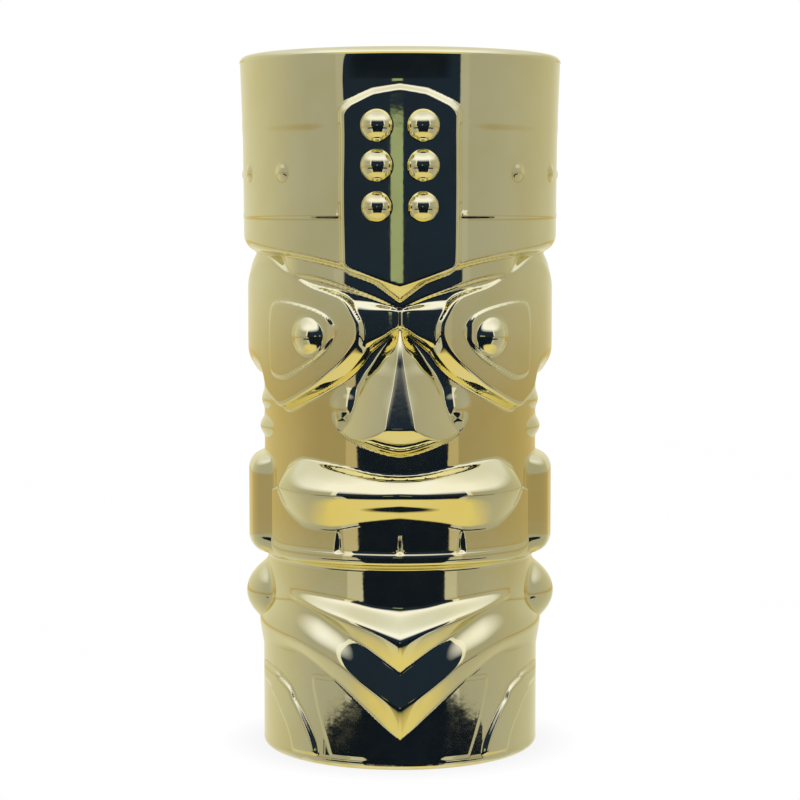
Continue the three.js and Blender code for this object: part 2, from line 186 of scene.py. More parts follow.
def smooth_loop(points, steps=10):
    """A closed Catmull-Rom curve through the points."""
    p = np.array(points, float)
    before, after, beyond = np.roll(p, 1, 0), np.roll(p, -1, 0), np.roll(p, -2, 0)
    curve = []
    for s in np.arange(steps) / steps:
        bend = 2 * before - 5 * p + 4 * after - beyond
        tail = -before + 3 * p - 3 * after + beyond
        curve.append(0.5 * (2 * p + (after - before) * s + bend * s**2 + tail * s**3))
    return np.array(curve).transpose(1, 0, 2).reshape(-1, 2)


def inside(points, margin=8.0):
    """Distance in from a smooth closed outline of (turn, rise) points, in mm: negative outside it."""
    loop = smooth_loop(points) * [FLAT, 1]
    low, high = loop.min(0) - margin, loop.max(0) + margin
    columns = np.flatnonzero((turn[0] * FLAT > low[0]) & (turn[0] * FLAT < high[0]))
    rows = np.flatnonzero((rise[:, 0] > low[1]) & (rise[:, 0] < high[1]))
    x = turn[:, columns] * FLAT
    y = rise[rows]
    nearest = np.full((len(rows), len(columns)), margin**2)
    within = np.zeros(nearest.shape, bool)
    for (x0, y0), (x1, y1) in zip(loop, np.roll(loop, -1, 0)):
        dx, dy = x1 - x0, y1 - y0
        along = np.clip(((x - x0) * dx + (y - y0) * dy) / (dx * dx + dy * dy + 1e-12), 0, 1)
        nearest = np.minimum(nearest, (x - x0 - along * dx) ** 2 + (y - y0 - along * dy) ** 2)
        if y0 != y1:
            within ^= ((y0 > y) != (y1 > y)) & (x < x0 + (y - y0) * dx / dy)
    full = np.full((rise.shape[0], turn.shape[1]), -margin)
    full[np.ix_(rows, columns)] = np.sqrt(nearest) * np.where(within, 1, -1)
    return full


def sharpened(points):
    """Adds points close to each corner, so that the smooth curve keeps its sides straight."""
    p = np.array(points, float)
    close = 0.12
    extra = []
    for i in range(len(p)):
        extra += [p[i] + (p[i - 1] - p[i]) * close, p[i] + (p[(i + 1) % len(p)] - p[i]) * close]
    return extra


def share_away(at_turn, at_rise, width, height):
    """Distance from a point as a share of an ellipse's half width and half height in mm."""
    return np.hypot((turn - at_turn) * FLAT / width, (rise - at_rise) / height)


# -------- the bare wall

wall = smooth_line([
    (0, SKIRT - 1.1), (0.7, SKIRT - 0.5), (2.0, SKIRT), (HOOP.low + 20, SKIRT), (HOOP.low + 23, SKIRT - 0.2),
    (HOOP.low + 28.8, NECK), (JAW.low - 0.9, NECK), (JAW.low - 0.1, FACE), (JAW.low + 14, FACE),
    (BAND.low + 7.9, FACE), (BAND.low + 13.4, CORE), (HEIGHT, CORE),
])(rise) + 0 * turn


def flare(points):
    """The headband's front, from (height over the rim, reach over BAND_WALL) points."""
    rim = (-LIP, VESSEL.outer - 0.2 - BAND_WALL)
    return by_rise(points + [rim], HEIGHT, BAND_WALL)


# The headband flares up to the rim: evenly at the sides, and only near the rim in front.
side_flare = flare([(-60, -0.25), (-39, -0.2), (-27, -0.1), (-18, 0), (-10, 0.25)])
front_flare = flare([(-60, -0.25), (-39, -0.2), (-27, -0.03), (-15, 0), (-7.2, 0.02), (-6.4, 0.08)])
band_front = front_flare + (side_flare - front_flare) * ease(turn, 14, 20)
wall = np.where(rise > BAND.high, band_front, wall)

# -------- who owns what

# Every piece has a level: 0 is the vessel, 1 lies on it, 2 on a piece of level 1, and so on.
level_of = {"vessel": 0}
names = ["vessel"]
grounds = [wall.copy()]   # the surface under the pieces of each level
surface = wall.copy()
owner = np.zeros(surface.shape, int)


def lay(name, reach, level, valley=0.0, hidden=False):
    """Lays a piece on the wall, except where it is hidden: it owns the surface wherever it stands proud."""
    global surface
    if name not in names:
        names.append(name)
        level_of[name] = level
    reach = np.where(hidden, NOTHING, reach)
    proud = reach > surface
    owner[proud] = names.index(name)
    surface = soft_max(surface, reach, valley) if valley else np.maximum(surface, reach)


# -------- the headband and brow

def lay_headband():
    """Its lower edge is a V over the nose that runs out level round the sides."""
    foot = by_turn([(0, 0), (3, 1.6), (10, 4.7), (18, 7.2), (21.2, 7.7), (36, 9.6), (47, 10.4), (60, 10.6),
                    (90, 10.5), (180, 10.5)], BAND.low)
    roundness = by_turn([(0, 3.0), (3, 2.1), (9, 1.4), (14, 1.0), (20, 0.65), (40, 0.6), (56, 1.4),
                         (72, 3.0), (90, 4.2), (180, 4.2)])
    drop = np.minimum(BAND_WALL - FACE, 1.15 * roundness)
    reach = band_front - drop * shoulder(foot + roundness - rise, roundness)
    lay("headband", reach, 1, hidden=rise > BAND.high)


def lay_brow_step():
    """Two narrow ledges under the headband's V, the lower one running on behind the masks."""
    ledge = 0.45
    foot = by_turn([(0, -0.4), (3.5, 0.4), (9, 1.8), (18, 3.6), (32, 6.0), (46, 6.8), (70, 9.5)], STEP.low)
    fade = ease(turn, 40, STEP.far + 4)
    lower = BRIDGE.outer - 1.2 + 0.9 * ease(turn, 6, 50)
    upper = lower + ledge - 3.0 * fade - ledge * ease(foot + 0.15 - rise, 0.0, 0.3)
    upper -= 2.0 * shoulder(STEP.low - 0.6 - rise, 1.0)
    lay("brow_step", upper, 1, hidden=turn > STEP.far + 6)


def lay_brow_bridge():
    """The bar between the eyes: it slopes up to the ledge over it, and creases in the middle."""
    end = 24
    top = by_turn([(0, 0.1), (3.5, 0.6), (9, 1.3), (14.7, 2.0), (20.5, 2.2), (26, 1.6)], BRIDGE.high)
    slope = by_turn([(0, 0.4), (3.5, 0.6), (9, 1.5), (14.7, 2.3), (20.5, 1.8), (26, 1.5)])
    edge = by_turn([(0, 4.6), (3, 3.6), (5.6, 2.7), (10, 1.8), (14.3, 0.9), (18, -0.6), (end, -3.1)],
                   BRIDGE.low)
    foot = by_turn([(0, 4.3), (3, 3.3), (5.6, 2.0), (8, 0.8), (11.5, -1.0), (16, -2.8), (end, -5.8)],
                   BRIDGE.low)
    crease = 0.55 * np.exp(-turn / 1.2)
    front = BRIDGE.outer - 0.3 - crease
    over = front - 0.95 * shoulder(rise - (top - slope), slope, 1.25)
    under = front - (front - FACE + 0.1) * shoulder((edge - rise) / (edge - foot), 1, 1.5)
    lay("brow_bridge", np.minimum(over, under), 1, hidden=(rise > top) | (turn > end))


# -------- the eyes

def mask_front():
    """It stands out more and more towards the nose, so it never quite faces forwards."""
    towards_nose = np.clip(42 - turn, 0, None)
    return MASK.outer - 0.75 + 0.0013 * towards_nose**2 + 0.8 * ease(turn, 45, 90)


def lay_masks():
    """A teardrop with a slanting wall under it, and a wall over it that widens towards the side."""
    depth = inside(place(MASK, [
        (0.475, 1.05), (0.37, 0.985), (0.23, 0.875), (0.142, 0.83), (0.065, 0.775), (0.024, 0.675),
        (0.004, 0.59), (0.011, 0.49), (0.069, 0.345), (0.148, 0.226), (0.24, 0.116), (0.385, 0.0),
        (0.449, 0.032), (0.505, 0.103), (0.56, 0.26), (0.70, 0.31), (0.93, 0.33), (0.965, 0.5),
        (0.97, 0.75), (0.93, 0.86), (0.78, 0.93), (0.60, 1.05),
    ]))
    lower_wall = by_turn([(14, 3.2), (21, 2.9), (31, 1.9), (41, 1.3), (56, 1.2), (70, 3.4), (110, 4.2)])
    upper_wall = by_turn([(14, 1.0), (30, 0.9), (46, 1.4), (60, 3.2), (75, 5.2), (110, 5.2)])
    low = ease(rise, NOSE.high, NOSE.high - 6)
    width = upper_wall + (lower_wall - upper_wall) * low
    rim = by_turn([(14, 0.7), (50, 0.9), (75, 3.0)])
    rounding = 0.17 * rim * (1 - np.clip(depth, 0, rim) / rim) ** 2.4
    share = np.clip(-depth / width, 0, 1)
    slant = 0.68 * share**1.15 + 0.32 * ease(share, 0.85, 1.0)
    fall = shoulder(-depth, width, 1.5)
    fall = np.where(fall > 1, fall, fall + (slant - fall) * low)
    lay("eye_mask", mask_front() - rounding - 3.7 * fall, 1, valley=0.5)


def lay_plates():
    """A low rounded triangle on each mask, sunk a little at its corner by the nose."""
    depth = inside(place(PLATE, [
        (0.0, 0.62), (0.02, 0.68), (0.18, 0.82), (0.40, 0.905), (0.72, 0.96), (0.92, 0.93), (0.985, 0.80),
        (1.0, 0.55), (0.99, 0.24), (0.95, 0.06), (0.76, 0.01), (0.58, 0.08), (0.28, 0.27), (0.08, 0.48),
    ]))
    reach = mask_front() + 0.42 * ease(depth, -0.1, 0.4) - 0.4 * ease(turn, 28.5, 23.5)
    lay("eye_plate", reach, 2, hidden=depth < -0.1)


def lay_pupils():
    """A dome on each plate, with a soft foot."""
    at_turn, at_rise = middle_of(PUPIL)
    away = share_away(at_turn + 0.3, at_rise + 0.1, 4.6, 4.7)
    reach = mask_front() - 0.1 + 2.5 * dome(away, 1.1)
    lay("pupil", reach, 3, valley=0.5, hidden=away >= 1)


# -------- the nose and mouth

def lay_nose():
    """A wedge: a narrow flat ridge, two flanks, and an underside that curls in to the face."""
    ridge = by_rise([(-2.8, 8.7), (7.2, 6.4), (17.2, 4.1), (21.9, 3.0), (25.0, 1.9), (27.2, 1.1)],
                    NOSE.low, FACE)
    strip = by_rise([(-0.8, 3.1), (6.0, 2.6), (13.8, 1.3), (20.2, 0.5), (25.2, 0.2)], NOSE.low)
    steep = by_rise([(7.2, 0.64), (15.2, 0.62), (18.2, 0.69), (21.2, 0.85), (25.2, 1.5)], NOSE.low)
    flank = ridge - steep * soft_max(turn * FLAT - strip, 0 * turn, 0.5)
    tip = NOSE.low + 5.5
    foot = NOSE.low - 2.2 + 4.9 * np.clip(turn / 24, 0, 1.1) ** 1.6
    tuck = shoulder(tip - rise, tip - foot, 1.55)
    under = NOSE.outer - 0.3 - (NOSE.outer - FACE) * tuck
    swell = np.where(rise > tip, ease(rise, NOSE.low + 10.2, tip), 1 - tuck)
    wing = FACE - 0.5 + (1.0 + 1.9 * ease(turn, 25, 10)) * swell
    reach = np.maximum(np.minimum(flank, under), wing)
    lay("nose", reach, 1, valley=0.4, hidden=(turn > 26) | (rise > NOSE.high + 0.8))


def lay_nostrils():
    """Soft bulges that lean against the flanks of the nose."""
    away = share_away(NOSTRIL.near + 6.3, middle_of(NOSTRIL)[1] + 0.2, 5.6, 5.6)
    lay("nostril", FACE - 0.4 + 1.3 * dome(away, 1.5), 1, valley=0.4, hidden=away >= 1)


def lay_mouth():
    """Two lobes joined in the middle. A crest runs along them, with a slope over it and one under it."""
    end = MOUTH.far + 0.2
    top = by_turn([(0, 10.5), (10.7, 11.0), (23.4, 12.5), (34, 13.5), (42, 13.8), (49, 12.7), (53.5, 11.0),
                   (end, 8.4)], MOUTH.low, level_start=True)
    bottom = by_turn([(0, 0.9), (15.1, 0.1), (29, -1.3), (39.5, -0.8), (47, 1.3), (53, 3.8), (end, 6.0)],
                     MOUTH.low, level_start=True)
    crest = by_turn([(0, 7.1), (30, 6.6), (MOUTH.far, 7.2)], MOUTH.low)
    out = by_turn([(0, 3.6), (12, 4.1), (25, 4.9), (36, 5.0), (46, 4.3), (52, 3.2), (MOUTH.far, 1.8)], FACE)
    upright = 0.7 * hump(turn, 0, 18)
    above = np.clip((rise - crest) / (top - crest), 0, None)
    under = np.clip((crest - upright - rise) / (crest - upright - bottom), 0, None)
    lobe = 0.5 + 0.5 * ease(turn, 10, 35)   # in the middle, half of the upper slope is a sharp step
    bulge = above ** (1.1 + 0.5 * ease(turn, 5, 30))
    upper = out - (out - FACE + 0.1) * (lobe * bulge + (1 - lobe) * ease(above, 0.86, 1.0))
    lower = out - (out - JAW.outer + 0.3) * under**1.1
    reach = np.where(rise > crest, upper, lower)
    reach -= 0.22 * hump(rise, crest - 2.6, 0.9) * hump(turn, 0, 15)
    lay("mouth", reach, 1, valley=0.3, hidden=(above > 1) | (under > 1) | (turn > end))


def lay_jaw():
    """The chin under the mouth: a thin ledge along its foot, and three narrow grooves that rise from it."""
    end = JAW.far + 0.6
    foot = by_turn([(0, 0), (50, 0), (57, 0.3), (61, 1.6), (end, 4.2)], JAW.low - 0.2)
    top = by_turn([(0, 15.6), (52, 16.1), (57, 16.4), (end, 15.6)], JAW.low)
    reach = JAW.outer - 0.2 - 1.5 * shoulder(foot + 1.5 - rise, 1.5, 1.8)
    reach += 0.28 * ease(foot + 3.3 - rise, 0.0, 0.5)
    up = rise - JAW.low
    half_width = 0.25 + 0.75 * np.clip((7.7 - up) / 4.6, 0, 1)
    for centre in (0, 24.2):
        groove = np.clip(1 - np.abs(turn - centre) * FLAT / half_width, 0, 1)
        reach -= 0.7 * groove * ease(up, 3.0, 3.4) * ease(up, 7.9, 6.1)
    root = FACE - 0.3
    reach = root + (reach - root) * ease(turn, end, end - 1.8)
    lay("jaw", reach, 1, hidden=(rise > top) | (rise < foot) | (turn > end))


# -------- the sides of the head

def lay_cheek_folds():
    """Two flat bulges, one over the other."""
    for height, size in ((2.3, 1.4), (8.6, 1.0)):
        away = share_away(middle_of(FOLD)[0], FOLD.low + height, 12, 3.0)
        lay("cheek_fold", FACE - 0.35 + size * dome(away, 1.5), 1, valley=0.3, hidden=away >= 1)


def lay_ears():
    """A slab that ramps up gently from the cheek and ends roundly above, below and behind."""
    half = (EAR.far - EAR.near) / 2
    aside = np.abs(turn - middle_of(EAR)[0])
    ramp = ease(half + 5.0 - aside, 0, 12.5)
    high = EAR.high + smooth_line([(0, 0.6), (half, -0.4), (half + 6, -3.0)])(aside)
    low = EAR.low + smooth_line([(0, -0.9), (half, 0.2), (half + 6, 3.0)])(aside)
    rounding = 4.2
    edge = np.minimum(high - rise, rise - low)
    fall = np.clip(shoulder(rounding - edge, rounding), 0, 1)
    root = FACE - 0.45
    reach = root + (EAR.outer + 0.1 - root) * ramp * (1 - fall)
    lay("ear", reach, 1, valley=0.4, hidden=(edge <= 0) | (ramp <= 0.001))


def lay_ear_knobs():
    away = share_away(*middle_of(KNOB), 11.5, 8.2)
    lay("ear_knob", NECK - 1.0 + 6.1 * dome(away, 0.9), 1, valley=1.0, hidden=away >= 1)


# -------- the collars, legs and foot

def between_collars():
    """The wall between the two collars: it stands out from the neck behind the V."""
    return NECK + 1.6 * ease(turn, 36, 14)


def lay_upper_collar():
    """It flares out from the neck to a crest, then slants in under it."""
    end = COLLAR.far + 4
    head = by_turn([(0, 15.8), (10.9, 16.1), (21.4, 17.2), (33, 17.8), (end, 18.2)], COLLAR.low)
    crest = by_turn([(0, 8.0), (10.9, 10.8), (21.4, 12.6), (33, 14.2), (41.5, 15.4), (end, 16.5)], COLLAR.low)
    foot = by_turn([(0, 0.4), (5, 2.8), (10.9, 5.5), (21.4, 9.3), (33, 12.8), (41.5, 14.7), (end, 16.3)],
                   COLLAR.low)
    out = by_turn([(0, 4.2), (10.9, 3.5), (25, 2.6), (40, 1.4), (end, 0)], NECK)
    above = np.clip((rise - crest) / (head - crest), 0, None)
    under = np.clip((crest - rise) / np.maximum(crest - foot, 0.2), 0, None)
    upper = out - (out - NECK) * ease(above, 0.05, 1.0)
    lower = out - (out - between_collars()) * under**1.1
    reach = np.where(rise > crest, upper, lower)
    lay("upper_collar", reach, 1, hidden=(turn > end) | (rise > head) | (rise < foot))


def lay_lower_collar():
    """Near the middle its upper side stands nearly upright; further round it leans back more and more."""
    head = by_turn([(0, 19.3), (10.9, 23.8), (21.4, 27.3), (33, 30.4), (48, 32.8), (70, 31.8), (180, 31.2)],
                   HOOP.low)
    crest = by_turn([(0, 10.2), (10.9, 14.5), (21.4, 18.8), (33, 21.7), (42, 23.3), (55, 24.2), (75, 24.8),
                     (180, 25.0)], HOOP.low)
    foot = by_turn([(0, 1.2), (4, 3.4), (10.9, 7.5), (21.4, 12.8), (33, 17.5), (41, 19.9), (52, 21.2),
                    (62, 20.8), (75, 19.4), (90, 18.0), (180, 18.0)], HOOP.low)
    out = by_turn([(0, 3.6), (6, 3.7), (15, 3.7), (30, 3.0), (50, 2.5), (90, 2.0), (180, 2.0)], NECK)
    above = np.clip((rise - crest) / (head - crest), 0, None)
    under = np.clip((crest - rise) / (crest - foot), 0, None)
    spread = 0.6 + 0.4 * ease(turn, 8, 22)
    fall = above + (ease(above, 0.02, spread) - above) * ease(turn, 14, 26)
    upper = out - (out - between_collars() + 0.05) * fall
    lower = out - (out - SKIRT + 0.2) * under**1.1
    reach = np.where(rise > crest, upper, lower)
    lay("lower_collar", reach, 1, hidden=(rise > head) | (rise < foot))


def past(line, side):
    """Distance in mm beyond a line of (rise, turn) points, on its outer (1) or inner (-1) side."""
    edge = smooth_line(line)(rise)
    lean = np.gradient(edge[:, 0], RISE_STEP)[:, None] * FLAT
    return side * (turn - edge) * FLAT / np.hypot(1, lean)


def lay_legs():
    """A curved strip on each side: the thigh is its outer half and the shin its inner half."""
    outer = past([(0.9, 34.8), (5, 36.4), (9.5, 40.7), (13.9, 46.7), (18.1, 55.8), (19.6, 66), (20.4, 90)], 1)
    inner = past([(2.4, 49.4), (6.4, 52.1), (10.7, 58.4), (14.0, 65.5), (16.0, 74), (17.0, 90)], -1)
    ends = ease(rise, 1.9, 2.6) * ease(turn, 84, 72)
    raised = 0.75 * ease(outer, -0.3, 0.9) * ease(inner, -0.3, 0.9) * ends
    reach = SKIRT - 0.01 + raised
    lay("thigh", reach, 1, hidden=(outer > inner) | (raised <= 0.02))
    lay("shin", reach, 1, hidden=(outer <= inner) | (raised <= 0.02))


def lay_apron():
    """A thin panel between the legs; its upper end runs in under the lower collar."""
    edge = by_rise([(0.0, 27.8), (4.5, 30.5), (8, 32.8), (12.4, 35.4), (18, 38.0)])
    depth = np.minimum((edge - turn) * FLAT, rise - 2.0)
    reach = SKIRT - 0.05 + 0.25 * ease(depth, 0, 0.6)
    lay("apron", reach, 1, hidden=(depth < 0) | (rise > 20))


def lay_foot_rim():
    top, rounding = 1.9, 1.3
    reach = SKIRT + 0.05 - 1.0 * shoulder(rounding - rise, rounding) + 0 * turn
    lay("foot_rim", reach, 1, hidden=rise > top)


# -------- what lies on the headband

def lay_cords():
    """The upper cord is low and soft, and fades out well before the plaque; the lower one is thin."""
    start = PLAQUE.far + 0.5
    for name, height, width, run in (("upper_cord", 0.09, 1.6, 14), ("lower_cord", 0.17, 0.55, 1.5)):
        raised = height * hump(rise, middle_of(span(name))[1], width) * ease(turn, start, start + run)
        lay(name, band_front + raised - 0.015, 2, hidden=raised <= 0.02)


def lay_plaque():
    """The plaque's front is flatter than the headband, and its edges are soft, most of all at the top."""
    head, foot = PLAQUE.high, PLAQUE.low
    half = [(9, head - 1.3), (17.0, head - 3.8), (19.9, head - 5.7), (20.3, head - 21.3), (20.0, foot + 5.7),
            (18.0, foot + 4.4), (9, foot + 2.4)]
    outline = [(0, head - 0.3)] + half + [(0, foot + 0.4)] + [(-t, z) for t, z in reversed(half)]
    depth = inside(sharpened(outline))
    edge = 0.45 + 0.5 * ease(rise, head - 11.3, head - 2.3)
    reach = band_front + 0.75 * ease(depth, -edge, 0.45) + 0.4 * (turn / PLAQUE.far) ** 2
    lay("forehead_plaque", reach, 2, hidden=depth < -edge)


def lay_bosses():
    """The bosses of the right-hand side; those of the left are their mirror images."""
    for number in range(1, BOSSES // 2 + 1):
        name = f"boss_{number:02d}"
        raised = 0.6 * dome(share_away(*middle_of(span(name)), 2.3, 2.3), 2)
        lay(name, band_front + raised, 2, hidden=raised <= 0.01)


lay_headband()
lay_brow_step()
lay_brow_bridge()
lay_masks()
lay_nose()
lay_nostrils()
lay_jaw()
lay_mouth()
lay_cheek_folds()
lay_ears()
lay_ear_knobs()
lay_lower_collar()
lay_upper_collar()
lay_apron()
lay_legs()
lay_foot_rim()
grounds.append(surface.copy())
lay_cords()
lay_plaque()
lay_bosses()
lay_plates()
grounds.append(surface.copy())
lay_pupils()


def blurred(field, sigma):
    """Softens a field as a glaze does, by this many millimetres both up and round."""
    for axis, step in ((0, RISE_STEP), (1, TURN_STEP * FLAT)):
        width = sigma / step
        count = int(3 * width) + 1
        weights = np.exp(-0.5 * (np.arange(-count, count + 1) / width) ** 2)
        weights /= weights.sum()
        pads = [(0, 0), (0, 0)]
        pads[axis] = (count, count)
        padded = np.pad(field, pads, mode="reflect" if axis else "edge")
        length = field.shape[axis]
        field = sum(w * np.take(padded, range(k, k + length), axis) for k, w in enumerate(weights))
    return field


surface = blurred(surface, 0.2)
slope_rise = np.gradient(surface, RISE_STEP, axis=0)
slope_turn = np.gradient(surface, math.radians(TURN_STEP), axis=1)
slope_turn[:, [0, -1]] = 0

# -------- the grid of the mesh

# The columns are closest together round the face, and furthest apart at the back.
half_turns = np.concatenate([np.arange(0, 76, 0.5), np.arange(76, 121, 0.75), np.linspace(121, 180, 51)])
turns = np.concatenate([-half_turns[:0:-1], half_turns[:-1]])
COLUMNS = len(turns)
ROWS = 433
rises = np.linspace(0, rise[-1, 0], ROWS)


def sample(field, at_turn, at_rise):
    """Reads a field of the wall between its points."""
    u = np.abs((at_turn + 180) % 360 - 180) / TURN_STEP
    v = np.clip(at_rise / RISE_STEP, 0, field.shape[0] - 1.001)
    i, j = np.clip(u.astype(int), 0, field.shape[1] - 2), v.astype(int)
    s, t = u - i, v - j
    low = field[j, i] * (1 - s) + field[j, i + 1] * s
    high = field[j + 1, i] * (1 - s) + field[j + 1, i + 1] * s
    return low * (1 - t) + high * t


def cell_owners():
    """The owner of each cell of the grid, with single stray cells given to their neighbours."""
    widths = np.diff(np.append(turns, turns[0] + 360))
    middle_turn = (turns + widths / 2)[None, :] + 0 * rises[1:, None]
    middle_rise = ((rises[1:] + rises[:-1]) / 2)[:, None] + 0 * turns[None, :]
    column = np.rint(np.abs((middle_turn + 180) % 360 - 180) / TURN_STEP).astype(int)
    row = np.clip(np.rint(middle_rise / RISE_STEP).astype(int), 0, owner.shape[0] - 1)
    cells = owner[row, np.clip(column, 0, owner.shape[1] - 1)]
    for _ in range(6):
        around = [np.roll(cells, 1, 1), np.roll(cells, -1, 1), np.vstack([cells[:1], cells[:-1]]),
                  np.vstack([cells[1:], cells[-1:]])]
        alike = sum((neighbour == cells).astype(int) for neighbour in around)
        for one, other in ((0, 2), (1, 3), (0, 3), (1, 2), (0, 1), (2, 3)):
            neighbour = around[one]
            swap = (alike < 2) & (neighbour == around[other]) & (neighbour != cells)
            cells = np.where(swap, neighbour, cells)
    return cells


cells = cell_owners()
side_of_cell = np.where((turns + 0.01)[None, :] >= 0, 1, -1) + 0 * cells


def smooth_borders():
    """Places of the grid's points, eased along the pieces' borders so that they don't run in steps."""
    base_turn = np.tile(turns, (ROWS, 1))
    place_turn = base_turn.copy()
    place_rise = np.tile(rises[:, None], (1, COLUMNS))
    up, across = np.zeros((2, ROWS, COLUMNS), bool)
    across[1:-1] = cells[1:] != cells[:-1]
    up[:-1] = cells != np.roll(cells, 1, 1)
    for _ in range(5):
        total, shift_turn, shift_rise = np.zeros((3, ROWS, COLUMNS))
        off_turn = place_turn - base_turn
        for edge, axis, step in ((across, 1, 1), (across, 1, -1), (up, 0, 1), (up, 0, -1)):
            linked = edge if step == 1 else np.roll(edge, 1, axis)
            gap = (np.roll(base_turn, -step, axis) - base_turn + 180) % 360 - 180
            shift_turn += np.where(linked, np.roll(off_turn, -step, axis) + gap - off_turn, 0)
            shift_rise += np.where(linked, np.roll(place_rise, -step, axis) - place_rise, 0)
            total += linked
        moved = total == 2
        moved[0] = moved[-1] = False
        place_turn += np.where(moved, 0.25 * shift_turn, 0)
        place_rise += np.where(moved, 0.25 * shift_rise, 0)
    return place_turn, place_rise


grid_turn, grid_rise = smooth_borders()


def in_space(reach):
    """Points in millimetres for a reach at each point of the grid."""
    a = np.radians(grid_turn)
    return np.stack([reach * np.sin(a), -reach * np.cos(a), grid_rise], -1)


def surface_normals():
    """Which way the wall faces at each point of the grid."""
    reach = sample(surface, grid_turn, grid_rise)
    up = sample(slope_rise, grid_turn, grid_rise)
    mirrored = np.where((grid_turn + 180) % 360 - 180 < 0, -1, 1)
    around = sample(slope_turn, grid_turn, grid_rise) * mirrored / reach
    a = np.radians(grid_turn)
    normal = np.stack([np.sin(a) - around * np.cos(a), -np.cos(a) - around * np.sin(a), -up], -1)
    return normal / np.linalg.norm(normal, axis=-1, keepdims=True)


SINK = 0.25   # how far a laid-on piece is let into the one under it
GAP = 0.03    # between its back and the seat cut for it
front = in_space(sample(surface, grid_turn, grid_rise))
normals = surface_normals()
backs = [in_space(sample(g, grid_turn, grid_rise) - SINK) for g in grounds]
seats = [in_space(sample(g, grid_turn, grid_rise) - SINK - GAP) for g in grounds]

# -------- meshes

class Skin:
    """Collects faces on layers of points, and makes a mesh of them."""

    def __init__(self):
        self.points, self.count = [], 0
        self.sizes, self.corners, self.directions = [], [], []

    def add_points(self, points):
        """Returns the number of the first one."""
        start = self.count
        self.points.append(points.reshape(-1, 3))
        self.count += len(self.points[-1])
        return start

    def add_faces(self, faces, directions=None):
        """faces is (n, corners); directions are normals for each corner, or None for plain face normals."""
        faces = np.asarray(faces)
        if not len(faces):
            return
        self.sizes.append(np.full(len(faces), faces.shape[1]))
        self.corners.append(faces.ravel())
        plain = np.full((faces.size, 3), np.nan) if directions is None else directions.reshape(-1, 3)
        self.directions.append(plain)

    def build(self, name):
        points = np.concatenate(self.points)
        corners = np.concatenate(self.corners)
        sizes = np.concatenate(self.sizes)
        directions = np.concatenate(self.directions)
        used, corners = np.unique(corners, return_inverse=True)
        points = points[used] * MM
        mesh = bpy.data.meshes.new(name)
        mesh.vertices.add(len(points))
        mesh.vertices.foreach_set("co", points.ravel())
        mesh.loops.add(len(corners))
        mesh.loops.foreach_set("vertex_index", corners.astype(np.int32))
        mesh.polygons.add(len(sizes))
        starts = np.concatenate([[0], np.cumsum(sizes)[:-1]])
        mesh.polygons.foreach_set("loop_start", starts.astype(np.int32))
        mesh.polygons.foreach_set("loop_total", sizes.astype(np.int32))
        mesh.update(calc_edges=True)
        mesh.validate()
        flat = np.empty(len(mesh.polygons) * 3)
        mesh.polygons.foreach_get("normal", flat)
        face_normals = np.repeat(flat.reshape(-1, 3), sizes, axis=0)
        directions = np.where(np.isnan(directions), face_normals, directions)
        mesh.polygons.foreach_set("use_smooth", np.ones(len(sizes), bool))
        mesh.normals_split_custom_set(directions.tolist())
        piece = bpy.data.objects.new(name, mesh)
        bpy.context.scene.collection.objects.link(piece)
        return piece


point_index = np.arange(ROWS * COLUMNS).reshape(ROWS, COLUMNS)


def cell_corners(mask):
    """The four grid points of each chosen cell, anticlockwise seen from outside."""
    row, column = np.nonzero(mask)
    beyond = (column + 1) % COLUMNS
    return np.stack([point_index[row, column], point_index[row, beyond], point_index[row + 1, beyond],
                     point_index[row + 1, column]], 1)


def block_faces(mask, size=6):
    """The chosen cells as faces of a hidden layer: single ones as quads, and full blocks of cells each as
    one face with all its edge points."""
    rows, columns = mask.shape
    quads = mask.copy()
    blocks = []
    for row in range(0, rows - size + 1, size):
        for column in range(0, columns - size + 1, size):
            if mask[row:row + size, column:column + size].all():
                quads[row:row + size, column:column + size] = False
                ring = [(0, k) for k in range(size)] + [(k, size) for k in range(size)]
                ring += [(size - r, size - q) for r, q in ring]
                blocks.append([point_index[row + r, (column + q) % COLUMNS] for r, q in ring])
    return cell_corners(quads), np.array(blocks)


def add_hidden(skin, mask, start, inward=False):
    """The faces of a hidden layer whose points begin at start."""
    order = -1 if inward else 1
    for faces in block_faces(mask):
        if len(faces):
            skin.add_faces(faces[:, ::order] + start)


def add_walls(skin, one, other, start_one, start_other):
    """Walls between two layers, on every cell edge between a cell of `one` and a cell of `other`."""
    bare = np.zeros((1, COLUMNS), bool)
    neighbours = (   # the cells beyond each edge, and its two ends as steps up and along from the cell
        (np.roll(other, -1, 1), (0, 1), (1, 1)),
        (np.roll(other, 1, 1), (1, 0), (0, 0)),
        (np.vstack([other[1:], bare]), (1, 1), (1, 0)),
        (np.vstack([bare, other[:-1]]), (0, 0), (0, 1)),
    )
    for beyond, *ends in neighbours:
        row, column = np.nonzero(one & beyond)
        a, b = (point_index[row + up, (column + along) % COLUMNS] for up, along in ends)
        skin.add_faces(np.stack([b + start_one, a + start_one, a + start_other, b + start_other], 1))


def add_layers(skin, visible, covered, level):
    """The outer faces of a piece: its own surface, and the seat under the pieces laid on it."""
    top = skin.add_points(front)
    faces = cell_corners(visible)
    skin.add_faces(faces + top, normals.reshape(-1, 3)[faces])
    seat = None
    if covered.any():
        seat = skin.add_points(seats[level])
        add_hidden(skin, covered, seat)
        add_walls(skin, visible, covered, top, seat)
    return top, seat


def children_of(label):
    """The pieces laid on a laid-on piece."""
    bosses = [name for name in names if name.startswith("boss")]
    return {
        "headband": ["upper_cord", "lower_cord", "forehead_plaque"] + bosses,
        "eye_mask": ["eye_plate", "pupil"],
        "eye_plate": ["pupil"],
    }.get(label, [])


def finish_piece(piece, node):
    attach(piece, "root")
    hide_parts(node)
    return piece


